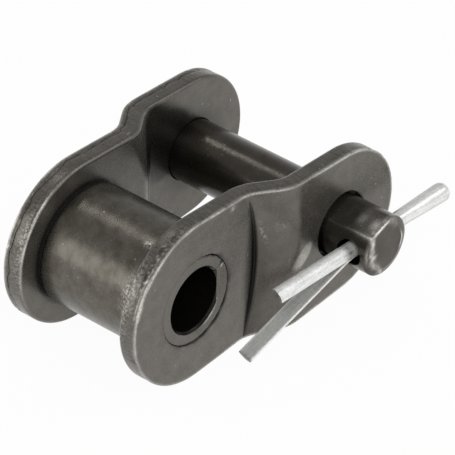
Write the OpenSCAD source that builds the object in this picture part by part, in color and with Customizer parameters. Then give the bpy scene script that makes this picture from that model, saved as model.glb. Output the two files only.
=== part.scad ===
// Offset link (cranked link) of a roller chain with 12.7 mm pitch.
// Two cranked plates carry a bush with its roller at the narrow end. At the wide
// end they carry a connecting pin, which a split pin secures in front.
// Origin on the bush axis at mid width, +X towards the pin, +Y towards the rear
// plate, +Z up. All sizes are millimetres and degrees.

/* [Link] */
// Pitch: bush axis to pin axis
pitch = 12.7; // [12.2:0.1:14]
// Clear width between the plates at the roller
inner_w = 8.3; // [7.7:0.1:8.8]
// Clear width between the plates at the pin
fork_w = 11.5; // [11.2:0.1:12.4]

/* [Plates] */
// Thickness of a plate
plate_t = 1.4; // [1.2:0.05:1.6]
// Radius of a plate's end round the bush
narrow_r = 5.9; // [5.5:0.05:6.3]
// Radius of a plate's end round the pin
wide_r = 5.3; // [5:0.05:5.8]
// Bush axis to the first bend, on the plate's middle plane
crank_x = 5.55; // [5.3:0.05:5.8]
// Length of the slope between the two bends, along the link
crank_len = 2.4; // [2:0.1:2.8]
// Radius inside each bend
bend_r = 0.4; // [0.2:0.05:0.8]

/* [Bush and roller] */
// Bore of the bush
bush_bore = 4.5; // [4.3:0.05:4.7]
// Outside diameter of the bush
bush_d = 6.3; // [6:0.05:6.5]
// How far the bush stands out of each plate
bush_proud = 0.05; // [0.02:0.01:0.3]
// Chamfer at the mouth of the bush
bush_chamfer = 0.15; // [0.05:0.05:0.3]
// Outside diameter of the roller
roller_d = 8.5; // [8.2:0.05:8.8]
// Radius on the roller's rims
roller_edge_r = 0.4; // [0.2:0.05:0.6]
// Gap between the roller and each plate
roller_side_gap = 0.12; // [0.08:0.01:0.3]
// Running clearance of the roller on the bush, on the radius
roller_gap = 0.05; // [0.03:0.01:0.09]

/* [Connecting pin] */
// Diameter of the pin
pin_d = 4.45; // [4.2:0.05:4.6]
// How far the pin stands out of the front plate
pin_front = 3.85; // [3.5:0.05:4.5]
// Chamfer at the pin's front end
pin_chamfer = 0.35; // [0.1:0.05:0.5]
// Clearance of the pin in the front plate, on the radius
pin_gap = 0.05; // [0.03:0.01:0.09]
// Depth of the flat along the pin's front end
flat_depth = 0.25; // [0.1:0.05:0.4]
// Direction in which the flat faces, from +X towards +Z
flat_angle = 115; // [95:1:135]
// Height of the peened head behind the rear plate
head_h = 0.9; // [0.6:0.05:1.2]
// How far the peened head is wider than the pin, on the radius
head_rim = 0.25; // [0.15:0.05:0.4]

/* [Split pin] */
// Diameter of the two legs together
wire_d = 1.05; // [0.9:0.05:1.2]
// Diameter of the cross hole in the connecting pin
cross_d = 1.6; // [1.5:0.05:1.8]
// Front plate to the middle of the cross hole
cross_y = 2.1; // [1.8:0.05:2.3]
// Slope of the split pin, eye end down
cotter_slope = 4.7; // [0:0.1:8]
// Turn of the eye about the split pin's own axis, top towards the front
cotter_turn = 20; // [0:1:30]
// Pin axis to the tip of the eye
eye_reach = 8.45; // [7:0.05:9]
// Clear width inside the eye
eye_w = 0.35; // [0.2:0.05:0.6]
// Pin axis to the end of the short leg
short_leg = 9.4; // [8:0.1:10]
// Length of the long leg past its bend
long_leg = 9; // [7:0.1:9.5]
// Angle between the long leg and the short one
leg_spread = 33; // [20:1:36]
// Radius of the long leg's bend, at its flat face
leg_bend_r = 1.4; // [1:0.1:2]
// Slit between the legs
leg_slit = 0.04; // [0.02:0.01:0.1]

/* [Hidden] */
$fn = 96;

// Hairline on the radius of the pressed seats, so that the solids meet and don't overlap
press_gap = 0.01;

// Overshoot of cuts and blanks, so that none ends on a face
over = 1;

// Plates, measured outwards from the link's middle plane
crank_depth = (fork_w - inner_w) / 2;
narrow_mid = inner_w / 2 + plate_t / 2;
narrow_out = inner_w / 2 + plate_t;
wide_mid = fork_w / 2 + plate_t / 2;
wide_out = fork_w / 2 + plate_t;
bend_angle = atan2(crank_depth, crank_len);
bend_mid_r = bend_r + plate_t / 2;
bend_run = bend_mid_r * tan(bend_angle / 2);
bend_1_x = crank_x - bend_run;
bend_2_x = crank_x + crank_len + bend_run;
plate_h = 2 * max(narrow_r, wide_r) + 2 * over;

bush_end_y = narrow_out + bush_proud;
roller_len = inner_w - 2 * roller_side_gap;
roller_bore = bush_d + 2 * roller_gap;

pin_r = pin_d / 2;
pin_tip_y = -wide_out - pin_front;
flat_len = pin_front + plate_t;
head_r = pin_r + head_rim;
head_chamfer = head_h / 2;
head_y = wide_out + press_gap;
head_end_y = wide_out + head_h;

cotter_y = -wide_out - cross_y;
wire_r = wire_d / 2;
eye_r = eye_w / 2;
neck_x = pin_r + wire_r;
eye_x = eye_reach - eye_r - wire_r;
arm_angle = asin((eye_r - leg_slit / 2) / (eye_x - neck_x));
slit_angle = asin(leg_slit / wire_d);

// Steps of the bends and of the split pin's wire
bend_steps = 8;
wire_steps = 12;
eye_steps = 18;

// Solid of revolution about the Y axis: the profile's x is the radius, its y lies along +Y
module turned() {
  rotate([-90, 0, 0]) rotate_extrude() children();
}

// Round bar along Y at the place x, from y0 to y1
module bar_y(r, x, y0, y1) {
  translate([x, y0, 0]) rotate([-90, 0, 0]) cylinder(r = r, h = y1 - y0);
}

// Points of an arc about a centre, from angle a0 to a1
function arc(centre, r, a0, a1) =
  [for (i = [0:bend_steps]) let (a = a0 + (a1 - a0) * i / bend_steps) centre + r * [cos(a), sin(a)]];

// Plan of a cranked plate, x along the link and y outwards: its outer face, then its inner face back
module crank_plan() {
  bend_1 = [bend_1_x, narrow_mid + bend_mid_r];
  bend_2 = [bend_2_x, wide_mid - bend_mid_r];
  back_x = -narrow_r - over;
  front_x = pitch + wide_r + over;
  polygon(concat(
    [[back_x, narrow_out]], arc(bend_1, bend_r, -90, bend_angle - 90),
    arc(bend_2, bend_r + plate_t, 90 + bend_angle, 90), [[front_x, wide_out]],
    [[front_x, fork_w / 2]], arc(bend_2, bend_r, 90, 90 + bend_angle),
    arc(bend_1, bend_r + plate_t, bend_angle - 90, -90), [[back_x, inner_w / 2]]));
}

// Outline of a plate, seen along Y: two round ends joined by straight edges that touch both
module plate_outline() {
  hull() {
    circle(r = narrow_r);
    translate([pitch, 0]) circle(r = wide_r);
  }
}

// Cranked plate on the +Y side, with its hole for the bush and its hole for the pin
module cranked_plate(pin_clearance) {
  difference() {
    intersection() {
      translate([0, 0, -plate_h / 2]) linear_extrude(plate_h) crank_plan();
      rotate([90, 0, 0]) translate([0, 0, -wide_out - over]) linear_extrude(wide_out + over) plate_outline();
    }
    bar_y(bush_d / 2 + press_gap, 0, inner_w / 2 - over, narrow_out + over);
    bar_y(pin_r + pin_clearance, pitch, fork_w / 2 - over, wide_out + over);
  }
}

module front_plate() {
  color("#66635e") mirror([0, 1, 0]) cranked_plate(pin_gap);
}

module rear_plate() {
  color("#66635e") cranked_plate(press_gap);
}

// Bush, with a chamfer at each mouth
module bush() {
  bore_r = bush_bore / 2;
  color("#5b5852") turned()
    polygon([[bore_r + bush_chamfer, -bush_end_y], [bush_d / 2, -bush_end_y],
             [bush_d / 2, bush_end_y], [bore_r + bush_chamfer, bush_end_y],
             [bore_r, bush_end_y - bush_chamfer], [bore_r, -bush_end_y + bush_chamfer]]);
}

// Roller: a plain ring with rounded rims
module roller() {
  wall = (roller_d - roller_bore) / 2;
  land = roller_len - 2 * roller_edge_r;
  color("#716d65") turned() union() {
    translate([roller_bore / 2, -roller_len / 2]) square([wall - roller_edge_r, roller_len]);
    translate([roller_bore / 2, -land / 2]) square([wall, land]);
    for (side = [-1, 1])
      translate([roller_d / 2 - roller_edge_r, side * land / 2]) circle(r = roller_edge_r);
  }
}

// Frame of the split pin: x along its legs, z from the long leg to the short one
module cotter_frame() {
  translate([pitch, cotter_y, 0]) rotate([0, -cotter_slope, 180]) rotate([-cotter_turn, 0, 0]) children();
}

// Connecting pin: chamfered in front, peened behind, with a flat and a cross hole at its front end
module connecting_pin() {
  color("#3d3a36") difference() {
    translate([pitch, 0, 0]) turned()
      polygon([[0, pin_tip_y], [pin_r - pin_chamfer, pin_tip_y], [pin_r, pin_tip_y + pin_chamfer],
               [pin_r, head_y], [head_r, head_y], [head_r, head_end_y - head_chamfer],
               [head_r - head_chamfer, head_end_y], [0, head_end_y]]);
    translate([pitch, pin_tip_y - over, 0]) rotate([0, -flat_angle, 0])
      translate([pin_r - flat_depth, 0, -pin_d]) cube([pin_d, flat_len + over, 2 * pin_d]);
    cotter_frame() rotate([0, 90, 0]) cylinder(d = cross_d, h = 2 * pin_d, center = true);
  }
}

// Section of one leg, a half disc on its flat face: [across the wire, away from the flat face]
function leg_section() =
  [for (i = [0:wire_steps]) let (t = slit_angle + (180 - 2 * slit_angle) * i / wire_steps)
    [wire_r * cos(t), wire_r * sin(t) - leg_slit / 2]];

// Path of the flat face in the split pin's plane, as [x, z, heading]: the short leg, the eye, the long leg
function cotter_path() = concat(
  [[short_leg, leg_slit / 2, 180], [-neck_x, leg_slit / 2, 180 - arm_angle / 2]],
  [for (i = [0:eye_steps]) let (h = 180 - arm_angle + (180 + 2 * arm_angle) * i / eye_steps)
    [-eye_x + eye_r * sin(h), -eye_r * cos(h), h]],
  [[-neck_x, -leg_slit / 2, 360 + arm_angle / 2]],
  [for (i = [0:bend_steps]) let (h = leg_spread * i / bend_steps)
    [pin_r + leg_bend_r * sin(h), -leg_slit / 2 - leg_bend_r * (1 - cos(h)), 360 - h]],
  [[pin_r + leg_bend_r * sin(leg_spread) + long_leg * cos(leg_spread),
    -leg_slit / 2 - leg_bend_r * (1 - cos(leg_spread)) - long_leg * sin(leg_spread), 360 - leg_spread]]);

// Split pin: one half-round wire, folded to an eye and two legs, swept along its path
module cotter_pin() {
  section = leg_section();
  path = cotter_path();
  n = len(section);
  last = len(path) - 1;
  points = [for (p = path) for (s = section) [p[0] + s[1] * sin(p[2]), s[0], p[1] - s[1] * cos(p[2])]];
  sides = [for (k = [0:last - 1]) for (i = [0:n - 1])
    [k * n + i, (k + 1) * n + i, (k + 1) * n + (i + 1) % n, k * n + (i + 1) % n]];
  start = [for (i = [0:n - 1]) i];
  end = [for (i = [n - 1:-1:0]) last * n + i];
  color("#d9dbd6") cotter_frame() polyhedron(points, concat(sides, [start, end]));
}

front_plate();
rear_plate();
bush();
roller();
connecting_pin();
cotter_pin();
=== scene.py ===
"""Looks of an offset link of a roller chain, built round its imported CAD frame.

Six pieces stand for the six CAD nodes: two cranked plates, the bush, the roller,
the connecting pin and the split pin. Sizes are millimetres until a surface becomes
a mesh, which is in metres. Angles in fields are degrees. Angles given to functions
and the widths of arcs are radians, unless a docstring says otherwise.
"""

import logging
import math
from dataclasses import dataclass, field
from enum import Enum

import bmesh
import bpy
import numpy as np
from mathutils import Matrix


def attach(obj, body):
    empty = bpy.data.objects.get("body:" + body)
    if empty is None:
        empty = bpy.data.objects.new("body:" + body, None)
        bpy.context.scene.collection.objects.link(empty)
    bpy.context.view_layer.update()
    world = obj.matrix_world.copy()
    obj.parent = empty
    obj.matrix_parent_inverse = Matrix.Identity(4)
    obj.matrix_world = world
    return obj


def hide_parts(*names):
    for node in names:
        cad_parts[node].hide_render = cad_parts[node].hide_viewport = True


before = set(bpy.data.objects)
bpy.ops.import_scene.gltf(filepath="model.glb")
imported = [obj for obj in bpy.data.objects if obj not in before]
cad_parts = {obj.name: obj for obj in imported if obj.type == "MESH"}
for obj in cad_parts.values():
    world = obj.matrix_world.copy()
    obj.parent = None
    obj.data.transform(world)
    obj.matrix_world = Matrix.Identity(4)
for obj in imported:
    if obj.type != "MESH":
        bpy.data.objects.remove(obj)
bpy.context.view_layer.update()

MM = 0.001
WELD = 1e-7
SHARP_ANGLE = 35.0
WHITE = (1.0, 1.0, 1.0, 1.0)
# Cosine of 45 degrees
DIAGONAL = 0.707
# Sockets of a Mix node that blends colours: its three inputs and its output
FACTOR, UNDER, OVER, MIXED = 0, 6, 7, 2
# Inputs of a Map Range node, in the order of the tables in the finishes
RANGE_INPUTS = ("Value", "From Min", "From Max", "To Min", "To Max")
# Shear streaks are drawn out along Y, the way that the punch goes
STREAK_SCALE = (1.0, 0.12, 1.0)

Pair = tuple[np.ndarray, np.ndarray]

log = logging.getLogger("offset_link")


class Body(Enum):
    """The CAD bodies that a piece can ride on."""

    LINK = "link"
    ROLLER = "roller"


class Side(Enum):
    """The side of the link that a plate is on, as the sign of its Y."""

    FRONT = -1.0
    REAR = 1.0


class Mark(Enum):
    """Names of the point attributes that tell a finish where wear, dirt, painted highlights and painted shade
    are.
    """

    WORN = "worn"
    SOIL = "soil"
    WALL = "wall"
    FROST = "frost"
    ALONG = "along"
    AROUND = "around"
    FLAT = "flat"


class Blend(Enum):
    """How a layer of colour lies on those below it."""

    COVER = "MIX"
    TIMES = "MULTIPLY"


def fold_angle(a: np.ndarray) -> np.ndarray:
    """Brings angles to between -pi and pi."""
    return np.arctan2(np.sin(a), np.cos(a))


def linear(hex_code: str) -> tuple[float, float, float, float]:
    """Turns an sRGB hex colour into linear RGBA.

    Args:
        hex_code: Colour as #rrggbb.

    Returns:
        Red, green, blue and an alpha of 1, linear.
    """
    srgb = np.array([int(hex_code[i:i + 2], 16) for i in (1, 3, 5)]) / 255.0
    rgb = np.where(srgb <= 0.04045, srgb / 12.92, ((srgb + 0.055) / 1.055) ** 2.4)
    return float(rgb[0]), float(rgb[1]), float(rgb[2]), 1.0


def per_metre(size_mm: float) -> float:
    """Gives the noise scale whose features are about size_mm wide."""
    return 1.0 / (size_mm * MM)


def empty_tree(owner: bpy.types.Material | bpy.types.World) -> bpy.types.NodeTree:
    """Switches on the nodes of a material or a world, and clears them.

    Args:
        owner: The material or world.

    Returns:
        Its node tree.
    """
    owner.use_nodes = True
    owner.node_tree.nodes.clear()
    return owner.node_tree


def add_node(tree: bpy.types.NodeTree, kind: str, settings: dict | None = None,
             links: dict | None = None) -> bpy.types.Node:
    """Adds one node with its settings, and fills its inputs.

    Args:
        tree: The node tree.
        kind: The node's type name.
        settings: Properties to set on the node.
        links: For each input, a value, or an output socket to link it to.

    Returns:
        The new node.
    """
    node = tree.nodes.new(kind)
    for name, value in (settings or {}).items():
        setattr(node, name, value)
    for name, value in (links or {}).items():
        if isinstance(value, bpy.types.NodeSocket):
            tree.links.new(value, node.inputs[name])
        else:
            node.inputs[name].default_value = value
    return node


def ease(low: float, high: float, x: np.ndarray) -> np.ndarray:
    """Rises smoothly from 0 at low to 1 at high, by the cubic 3t^2 - 2t^3."""
    t = np.clip((x - low) / (high - low), 0.0, 1.0)
    return t * t * (3.0 - 2.0 * t)


def bell(x: np.ndarray, middle: float | np.ndarray, width: float | np.ndarray) -> np.ndarray:
    """Bell curve exp(-((x - middle) / width)^2)."""
    return np.exp(-(((x - middle) / width) ** 2))


def noise(u: np.ndarray, v: np.ndarray, seed: int, size: int = 256) -> np.ndarray:
    """Smooth noise: random values on a square lattice, blended between its corners.

    Args:
        u: First coordinate in lattice steps.
        v: Second coordinate in lattice steps.
        seed: Seed of the lattice.
        size: Steps after which the lattice repeats.

    Returns:
        Values from -1 to 1, in the shape of u and v.
    """
    lattice = np.random.default_rng(seed).uniform(-1.0, 1.0, (size, size))
    iu, iv = np.floor(u).astype(int), np.floor(v).astype(int)
    fu, fv = ease(0.0, 1.0, u - iu), ease(0.0, 1.0, v - iv)
    iu, iv, ju, jv = iu % size, iv % size, (iu + 1) % size, (iv + 1) % size
    near = lattice[iu, iv] * (1.0 - fu) + lattice[ju, iv] * fu
    far = lattice[iu, jv] * (1.0 - fu) + lattice[ju, jv] * fu
    return near * (1.0 - fv) + far * fv


def steps(*runs: tuple[float, float, int]) -> np.ndarray:
    """Joins evenly spaced runs, each (from, to, count), with no value twice."""
    parts = [np.linspace(a, b, n, endpoint=False) for a, b, n in runs]
    return np.concatenate([*parts, [runs[-1][1]]])


def quarter(count: int) -> Pair:
    """Quarter circle in count points, for rounded edges: 1 - cos and 1 - sin of an angle from 0 up."""
    a = np.linspace(0.0, np.pi / 2, count)
    return 1.0 - np.cos(a), 1.0 - np.sin(a)


def turned(r: np.ndarray, y: np.ndarray, a: np.ndarray) -> np.ndarray:
    """Points of a shape turned about Y: r cos a, y and r sin a."""
    return np.stack(np.broadcast_arrays(r * np.cos(a), y, r * np.sin(a)), -1)


def run_length(line: np.ndarray) -> np.ndarray:
    """Length along a line of flat points, from its start to each point."""
    return np.concatenate([[0.0], np.cumsum(np.hypot(*np.diff(line, axis=0).T))])


@dataclass(frozen=True)
class Arc:
    """A stretch round an axis, which fades to both sides as a bell curve.

    Attributes:
        middle: Direction of its middle, in degrees.
        width: Width of the bell curve, in radians.
    """

    middle: float
    width: float

    def at(self, a: np.ndarray) -> np.ndarray:
        """Share of the stretch at angles a."""
        return bell(fold_angle(a - math.radians(self.middle)), 0.0, self.width)


# The bush's press fit gapes widely below right, and briefly by the seam
PRESS_GAPS = (Arc(-50.0, 1.2), Arc(58.0, 0.42))


def press_gap(a: np.ndarray) -> np.ndarray:
    """Share by which the bush's press fit gapes at angles a."""
    return np.maximum(PRESS_GAPS[0].at(a), PRESS_GAPS[1].at(a))


@dataclass
class Surface:
    """Points in millimetres and the four-cornered faces between them.

    Attributes:
        points: Array of points x 3.
        quads: Array of faces x 4, which are indices of points.
        shape: Shape of the arrays that give a value for each point.
    """

    points: np.ndarray
    quads: np.ndarray
    shape: tuple[int, ...]

    @classmethod
    def grid(cls, points: np.ndarray, closed: bool = False) -> "Surface":
        """Makes a surface from a grid of points.

        Args:
            points: Array of rows x columns x 3.
            closed: Whether the last column joins the first.

        Returns:
            The surface, one quad in each cell.
        """
        rows, columns = points.shape[:2]
        index = np.arange(rows * columns).reshape(rows, columns)
        if closed:
            index = np.hstack([index, index[:, :1]])
        corners = (index[:-1, :-1], index[1:, :-1], index[1:, 1:], index[:-1, 1:])
        return cls(points.reshape(-1, 3), np.stack(corners, -1).reshape(-1, 4), (rows, columns))

    @classmethod
    def joined(cls, parts: list["Surface"]) -> "Surface":
        """Puts several surfaces into one.

        Args:
            parts: The surfaces.

        Returns:
            One surface, with their points in order.
        """
        starts = np.cumsum([0] + [len(p.points) for p in parts])
        quads = [p.quads + start for p, start in zip(parts, starts)]
        return cls(np.concatenate([p.points for p in parts]), np.concatenate(quads), (starts[-1],))

    def to_object(self, name: str, marks: dict[Mark, np.ndarray]) -> bpy.types.Object:
        """Makes a closed, smooth mesh object, welded where the grids meet.

        Args:
            name: Name of the object.
            marks: Point attributes, of the surface's shape or spread over it. One left out is 0.

        Returns:
            The object, at the origin and in metres.
        """
        mesh = bpy.data.meshes.new(name)
        mesh.vertices.add(len(self.points))
        mesh.vertices.foreach_set("co", (self.points * MM).astype(np.float32).ravel())
        mesh.loops.add(self.quads.size)
        mesh.loops.foreach_set("vertex_index", self.quads.astype(np.int32).ravel())
        mesh.polygons.add(len(self.quads))
        mesh.polygons.foreach_set("loop_start", np.arange(0, self.quads.size, 4, dtype=np.int32))
        mesh.update(calc_edges=True)
        for mark, values in marks.items():
            layer = mesh.attributes.new(mark.value, "FLOAT", "POINT")
            layer.data.foreach_set("value", np.broadcast_to(values, self.shape).astype(np.float32).ravel())
        work = bmesh.new()
        work.from_mesh(mesh)
        bmesh.ops.remove_doubles(work, verts=work.verts, dist=WELD)
        bmesh.ops.recalc_face_normals(work, faces=work.faces)
        work.to_mesh(mesh)
        work.free()
        mesh.shade_smooth()
        mesh.set_sharp_from_angle(angle=math.radians(SHARP_ANGLE))
        made = bpy.data.objects.new(name, mesh)
        bpy.context.scene.collection.objects.link(made)
        return made


@dataclass(frozen=True)
class SteelFinish:
    """Steel with a thin dark film: mottled, grained, rubbed bright on its edges, with painted highlights and
    painted shade where its marks say.

    Attributes:
        name: Name of the material.
        body: Colour of the film, seen square on.
        tint: Colour of its stains.
        worn: Colour of bare steel where the film is rubbed off, and of painted highlights and a painted
            reflection.
        soil: Colour of dirt and scale in corners, and of painted shade.
        roughness: Roughness of the film.
        spread: How far the grain takes the roughness up and down.
        grain_mm: Width of the fine grain.
        mottle_mm: Width of the cloudy mottling.
        streak_mm: Width of the shear streaks on blanked walls.
        fleck_mm: Width of the bright flecks that knocks leave.
        relief_mm: Height of the grain.
        streak_relief: Height of the shear streaks, in heights of the grain.
        mottling: How far the mottling goes towards the stain colour.
        metallic: Share of bare reflection; the rest is the film's own scatter.
    """

    name: str
    body: str
    tint: str
    worn: str = "#dedbd4"
    soil: str = "#0f0e0c"
    roughness: float = 0.4
    spread: float = 0.07
    grain_mm: float = 0.16
    mottle_mm: float = 1.6
    streak_mm: float = 0.12
    fleck_mm: float = 0.28
    relief_mm: float = 0.0025
    streak_relief: float = 3.0
    mottling: float = 0.5
    metallic: float = 0.75

    def material(self) -> bpy.types.Material:
        """Builds the node material.

        Returns:
            The material.
        """
        made = bpy.data.materials.new(self.name)
        tree = empty_tree(made)
        place = add_node(tree, "ShaderNodeTexCoord").outputs["Object"]
        drawn_out = add_node(tree, "ShaderNodeMapping", None, {"Vector": place, "Scale": STREAK_SCALE})
        worn, soil, wall, frost = (
            add_node(tree, "ShaderNodeAttribute", {"attribute_name": mark.value}).outputs["Fac"]
            for mark in (Mark.WORN, Mark.SOIL, Mark.WALL, Mark.FROST))

        # Mottling of the film, grain that tumbling leaves, streaks of a sheared wall and flecks of knocks:
        # place, width, detail and roughness. Real grain is finer, and here as coarse as it needs to show.
        noises = {
            "cloud": (place, self.mottle_mm, 4.0, 0.6),
            "grain": (place, self.grain_mm, 2.0, 0.6),
            "streak": (drawn_out.outputs["Vector"], self.streak_mm, 3.0, 0.65),
            "fleck": (place, self.fleck_mm, 1.0, 0.5),
        }
        pattern = {
            name: add_node(tree, "ShaderNodeTexNoise", None, {
                "Vector": at, "Scale": per_metre(size), "Detail": detail, "Roughness": rough}).outputs["Fac"]
            for name, (at, size, detail, rough) in noises.items()}

        # What the patterns do: each takes a range of its pattern to a range of shares or gains
        ranges = {
            "stained": ("cloud", 0.38, 0.72, 0.0, self.mottling),
            "grained": ("grain", 0.3, 0.7, 0.92, 1.08),
            "streaked": ("streak", 0.3, 0.7, 0.72, 1.2),
            "flecked": ("fleck", 0.765, 0.81, 0.0, 0.6),
            "specked": ("grain", 0.4, 0.6, 0.7, 1.0),
            "frosted": ("grain", 0.46, 0.62, 0.0, 1.0),
            "rough": ("grain", 0.25, 0.75, self.roughness - self.spread, self.roughness + self.spread),
        }
        share = {
            name: add_node(tree, "ShaderNodeMapRange", None, dict(
                zip(RANGE_INPUTS, (pattern[source], *limits)))).outputs["Result"]
            for name, (source, *limits) in ranges.items()}

        # Rubbed edges are bare and bright, partly as painted highlights; small knocks leave flecks; dirt and
        # painted shade lie over all
        bare = add_node(tree, "ShaderNodeMath", {"operation": "MULTIPLY_ADD", "use_clamp": True}, {
            0: worn, 1: share["specked"], 2: share["flecked"]})
        frosted = add_node(tree, "ShaderNodeMath", {"operation": "MULTIPLY", "use_clamp": True}, {
            0: frost, 1: share["frosted"]})
        layers = (
            (share["stained"], linear(self.tint), Blend.COVER),
            (1.0, share["grained"], Blend.TIMES),
            (wall, share["streaked"], Blend.TIMES),
            (bare.outputs["Value"], linear(self.worn), Blend.COVER),
            (frosted.outputs["Value"], linear(self.worn), Blend.COVER),
            (soil, linear(self.soil), Blend.COVER),
        )
        colour = linear(self.body)
        for factor, layer, blend in layers:
            mix = add_node(tree, "ShaderNodeMix", {"data_type": "RGBA", "blend_type": blend.value}, {
                FACTOR: factor, UNDER: colour, OVER: layer})
            colour = mix.outputs[MIXED]

        relief = add_node(tree, "ShaderNodeBump", None, {
            "Strength": 1.0, "Distance": self.relief_mm * MM, "Height": pattern["grain"]})
        streak_height = add_node(tree, "ShaderNodeMath", {"operation": "MULTIPLY"}, {
            0: pattern["streak"], 1: wall})
        sheared_relief = add_node(tree, "ShaderNodeBump", None, {
            "Strength": 1.0, "Distance": self.streak_relief * self.relief_mm * MM,
            "Height": streak_height.outputs["Value"], "Normal": relief.outputs["Normal"]})
        shader = add_node(tree, "ShaderNodeBsdfPrincipled", None, {
            "Base Color": colour, "Metallic": self.metallic,
            "Roughness": share["rough"], "Normal": sheared_relief.outputs["Normal"]})
        add_node(tree, "ShaderNodeOutputMaterial", None, {"Surface": shader.outputs["BSDF"]})
        return made


@dataclass(frozen=True)
class ZincWireFinish:
    """Bright zinc on drawn wire: silver, with fine draw lines along the wire.

    Attributes:
        name: Name of the material.
        body: Colour of the zinc.
        dull: Colour of the sheared flat face inside the fold.
        edge: Colour of the rubbed corners.
        stain: Colour of the stained zinc where the wire leaves the pin, and of painted shade on the eye.
        line_mm: Spacing of the draw lines round the wire.
        line_stretch: How many times longer than wide the draw lines are.
        speck_mm: Width of the plating's specks.
        relief_mm: Height of the draw lines.
        roughness: Roughness of the zinc at the eye.
        leg_roughness: Roughness of the legs, which are scuffed by pushing them through.
        metallic: Share of bare reflection at the eye; the rest is the plating's own scatter.
        leg_metallic: The same on the legs, which are scuffed.
    """

    name: str = "zinc_plated_mild_steel_drawn_wire"
    body: str = "#fafbf8"
    dull: str = "#b6b7b3"
    edge: str = "#f4f4f2"
    stain: str = "#5a5348"
    line_mm: float = 0.12
    line_stretch: float = 12.5
    speck_mm: float = 0.192
    relief_mm: float = 0.0015
    roughness: float = 0.28
    leg_roughness: float = 0.4
    metallic: float = 0.45
    leg_metallic: float = 0.3

    def material(self) -> bpy.types.Material:
        """Builds the node material.

        Returns:
            The material.
        """
        made = bpy.data.materials.new(self.name)
        tree = empty_tree(made)
        along, around, flat, worn, soil, frost = (
            add_node(tree, "ShaderNodeAttribute", {"attribute_name": mark.value}).outputs["Fac"]
            for mark in (Mark.ALONG, Mark.AROUND, Mark.FLAT, Mark.WORN, Mark.SOIL, Mark.FROST))

        # Places on the wire in millimetres. Draw lines are long along it and narrow round it, and specks
        # are cut from another slice of the noise.
        drawn_out = add_node(tree, "ShaderNodeMath", {"operation": "MULTIPLY"}, {
            0: along, 1: 1.0 / self.line_stretch})
        line_place = add_node(tree, "ShaderNodeCombineXYZ", None, {
            "X": drawn_out.outputs["Value"], "Y": around, "Z": 0.0})
        speck_place = add_node(tree, "ShaderNodeCombineXYZ", None, {"X": along, "Y": around, "Z": 4.0})
        lines, specks = (
            add_node(tree, "ShaderNodeTexNoise", None, {
                "Vector": at.outputs["Vector"], "Scale": 1.0 / size, "Detail": 3.0,
                "Roughness": rough}).outputs["Fac"]
            for at, size, rough in ((line_place, self.line_mm, 0.6), (speck_place, self.speck_mm, 0.7)))

        # Each takes a range of its pattern or mark to a range of gains or of the zinc's properties
        ranges = (
            (lines, 0.3, 0.7, 0.84, 1.12),
            (specks, 0.3, 0.7, 0.82, 1.12),
            (frost, 0.0, 1.0, self.roughness, self.leg_roughness),
            (frost, 0.0, 1.0, self.metallic, self.leg_metallic),
        )
        lined, specked, rough, metal = (
            add_node(tree, "ShaderNodeMapRange", None, dict(zip(RANGE_INPUTS, row))).outputs["Result"]
            for row in ranges)
        layers = (
            (flat, linear(self.dull), Blend.COVER),
            (worn, linear(self.edge), Blend.COVER),
            (soil, linear(self.stain), Blend.COVER),
            (1.0, lined, Blend.TIMES),
            (1.0, specked, Blend.TIMES),
        )
        colour = linear(self.body)
        for factor, layer, blend in layers:
            mix = add_node(tree, "ShaderNodeMix", {"data_type": "RGBA", "blend_type": blend.value}, {
                FACTOR: factor, UNDER: colour, OVER: layer})
            colour = mix.outputs[MIXED]

        relief = add_node(tree, "ShaderNodeBump", None, {
            "Strength": 1.0, "Distance": self.relief_mm * MM, "Height": lines})
        shader = add_node(tree, "ShaderNodeBsdfPrincipled", None, {
            "Base Color": colour, "Metallic": metal, "Roughness": rough, "Normal": relief.outputs["Normal"]})
        add_node(tree, "ShaderNodeOutputMaterial", None, {"Surface": shader.outputs["BSDF"]})
        return made


# Blanked from strip, hardened and tumbled: even warm grey with a satin sheen
PLATE_FINISH = SteelFinish(
    name="carbon_spring_steel_blanked_hardened_tumbled", body="#6a6660", tint="#504c45",
    roughness=0.3, mottle_mm=0.9, metallic=0.65)
# Curled from strip and case hardened: like the plates, a little darker, with a lighter dark colour for the
# painted shade in its bore and gaps
BUSH_FINISH = SteelFinish(
    name="case_hardened_steel_curled_strip", body="#66625c", tint="#57534c", soil="#1d1b18",
    roughness=0.27, metallic=0.65)
# Cold formed and case hardened: warm mottled grey that shines more than the plates
ROLLER_FINISH = SteelFinish(
    name="case_hardened_steel_cold_formed_roller", body="#67635c", tint="#4f4b41",
    roughness=0.285, spread=0.05, mottle_mm=0.8, mottling=0.9, relief_mm=0.001)
# Drawn bar, case hardened and oiled: dark brown grey with sharp highlights
PIN_FINISH = SteelFinish(
    name="case_hardened_steel_drawn_bar_oiled", body="#504c46", tint="#403b33",
    roughness=0.24, spread=0.045, mottling=0.95, relief_mm=0.001)
# Drawn wire, zinc plated: bright silver that mirrors softly, whiter on the scuffed legs
WIRE_FINISH = ZincWireFinish()


def place_piece(piece: bpy.types.Object, node: str, body: Body,
                material: bpy.types.Material) -> None:
    """Dresses a piece, puts it on its body and lets it stand for its CAD node.

    Args:
        piece: The new piece.
        node: The CAD node that it replaces.
        body: The CAD body that it rides on.
        material: Its material.
    """
    piece.data.materials.append(material)
    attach(piece, body.value)
    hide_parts(node)
    log.info("%s: %d faces, rides on %s", piece.name, len(piece.data.polygons), body.value)


@dataclass
class PlatePlaces:
    """Where the points of a plate lie.

    Attributes:
        x: Place along the link.
        z: Place across the link.
        x0: Place along the link before the bend lines are bowed.
        depth: Distance in from the outer face.
        edge: Distance in from the outline.
        turn: Angle about the bush.
        wall: Share by which a point is on the sheared wall.
    """

    x: np.ndarray
    z: np.ndarray
    x0: np.ndarray
    depth: np.ndarray
    edge: np.ndarray
    turn: np.ndarray
    wall: np.ndarray

    def distance(self, x: float, z: float) -> np.ndarray:
        """Distance of the points from a place on the face."""
        return np.hypot(self.x - x, self.z - z)


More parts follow.
